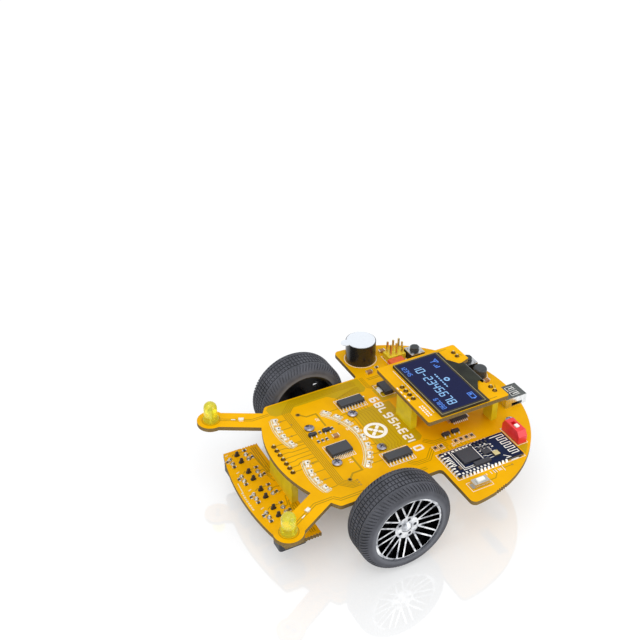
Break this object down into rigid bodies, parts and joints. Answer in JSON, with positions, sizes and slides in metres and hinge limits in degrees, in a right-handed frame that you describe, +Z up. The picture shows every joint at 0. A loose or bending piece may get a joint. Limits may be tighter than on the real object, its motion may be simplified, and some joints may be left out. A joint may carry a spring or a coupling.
{
  "type": "line follower robot",
  "caption": "Small two-wheeled line follower robot: round board with antenna lamps, display, radio board, floor-sensor bar, gear motors and rear ball caster.",
  "frame": {"origin": "on the floor, midway between the two wheels and straight below their axles", "axes": "+Z up from the floor, +X towards the robot's own left wheel, +Y towards its rear; the head and the antennas face -Y"},
  "size_m": [0.0978, 0.1138, 0.0378],
  "materials": {
    "board_yellow": "solder mask, satin",
    "board_blue": "solder mask, satin",
    "header_yellow": "moulded",
    "pin_gold": "plated",
    "screen_glass": "polished",
    "flex_film": "film",
    "lamp_yellow": "clear moulded",
    "lamp_white": "clear moulded",
    "tin": "tinned",
    "chip_black": "moulded",
    "ceramic_brown": "fired",
    "capacitor_orange": "moulded",
    "ferrite": "fired",
    "black_plastic": "moulded",
    "label_white": "paper",
    "switch_steel": "satin",
    "switch_white": "moulded",
    "switch_red": "moulded",
    "lens_blue": "clear moulded",
    "motor_steel": "plated",
    "gearbox_brass": "satin",
    "bracket_white": "moulded",
    "screw_steel": "plated",
    "wheel_black": "moulded",
    "wheel_chrome": "polished",
    "tyre_rubber": "moulded",
    "axle_steel": "ground",
    "caster_steel": "plated",
    "ball_steel": "polished",
    "battery_foil": "foil",
    "foam": "foam",
    "socket_cream": "moulded"
  },
  "bodies": {
    "chassis": {"main_board": "board_yellow", "sensor_board": "board_yellow", "display_board": "board_yellow", "bluetooth_board": "board_blue", "header_sockets": "header_yellow", "pin_strips": "header_yellow", "header_pins": "pin_gold", "display_glass": "screen_glass", "display_flex": "flex_film", "antenna_leds": "lamp_yellow", "through_leads": "tin", "face_leds": "lamp_white", "shift_registers": "chip_black", "motor_driver": "chip_black", "microcontroller": "chip_black", "transistors": "chip_black", "voltage_regulator": "chip_black", "chip_leads": "tin", "chip_resistors": "chip_black", "chip_capacitors": "ceramic_brown", "chip_terminals": "tin", "power_capacitor": "capacitor_orange", "power_inductor": "ferrite", "buzzer": "black_plastic", "buzzer_label": "label_white", "tact_bodies": "black_plastic", "tact_frames": "switch_steel", "reset_switch": "switch_steel", "dip_switch": "switch_red", "usb_shell": "switch_steel", "usb_insert": "black_plastic", "bluetooth_chips": "chip_black", "bluetooth_pads": "tin", "line_sensors": "black_plastic", "sensor_windows": "lens_blue", "solder_joints": "tin", "motor_cans": "motor_steel", "motor_caps": "black_plastic", "gearboxes": "gearbox_brass", "motor_brackets": "bracket_white", "screws": "screw_steel", "nuts": "screw_steel", "caster_housing": "caster_steel", "battery": "battery_foil", "battery_pad": "foam", "battery_socket": "socket_cream"},
    "left_drive": {"left_axle": "axle_steel", "left_wheel": "wheel_black", "left_wheel_cover": "wheel_chrome", "left_tyre": "tyre_rubber"},
    "right_drive": {"right_axle": "axle_steel", "right_wheel": "wheel_black", "right_wheel_cover": "wheel_chrome", "right_tyre": "tyre_rubber"},
    "ball": {"caster_ball": "ball_steel"},
    "mode_cap": {"mode_button": "black_plastic"},
    "power_cap": {"power_button": "black_plastic"},
    "reset_cap": {"reset_button": "switch_white"},
    "slider": {"dip_slider": "switch_white"}
  },
  "joints": [
    {"name": "left_wheel_spin", "type": "hinge", "parent": "chassis", "child": "left_drive", "pos_m": [0.03775, 0, 0.0174], "axis": [1, 0, 0], "continuous": true},
    {"name": "right_wheel_spin", "type": "hinge", "parent": "chassis", "child": "right_drive", "pos_m": [-0.03775, 0, 0.0174], "axis": [1, 0, 0], "continuous": true},
    {"name": "caster_roll", "type": "hinge", "parent": "chassis", "child": "ball", "pos_m": [0, 0.0583, 0.0075], "axis": [1, 0, 0], "continuous": true},
    {"name": "mode_button_press", "type": "slide", "parent": "chassis", "child": "mode_cap", "axis": [0, 0, -1], "range_m": [0, 0.0003], "stiffness_N_per_m": 1500},
    {"name": "power_button_press", "type": "slide", "parent": "chassis", "child": "power_cap", "axis": [0, 0, -1], "range_m": [0, 0.0003], "stiffness_N_per_m": 1500},
    {"name": "reset_button_press", "type": "slide", "parent": "chassis", "child": "reset_cap", "axis": [0, 0, -1], "range_m": [0, 0.0003], "stiffness_N_per_m": 1500},
    {"name": "slide_switch", "type": "slide", "parent": "chassis", "child": "slider", "axis": [-1, 0, 0], "range_m": [0, 0.0018]}
  ]
}
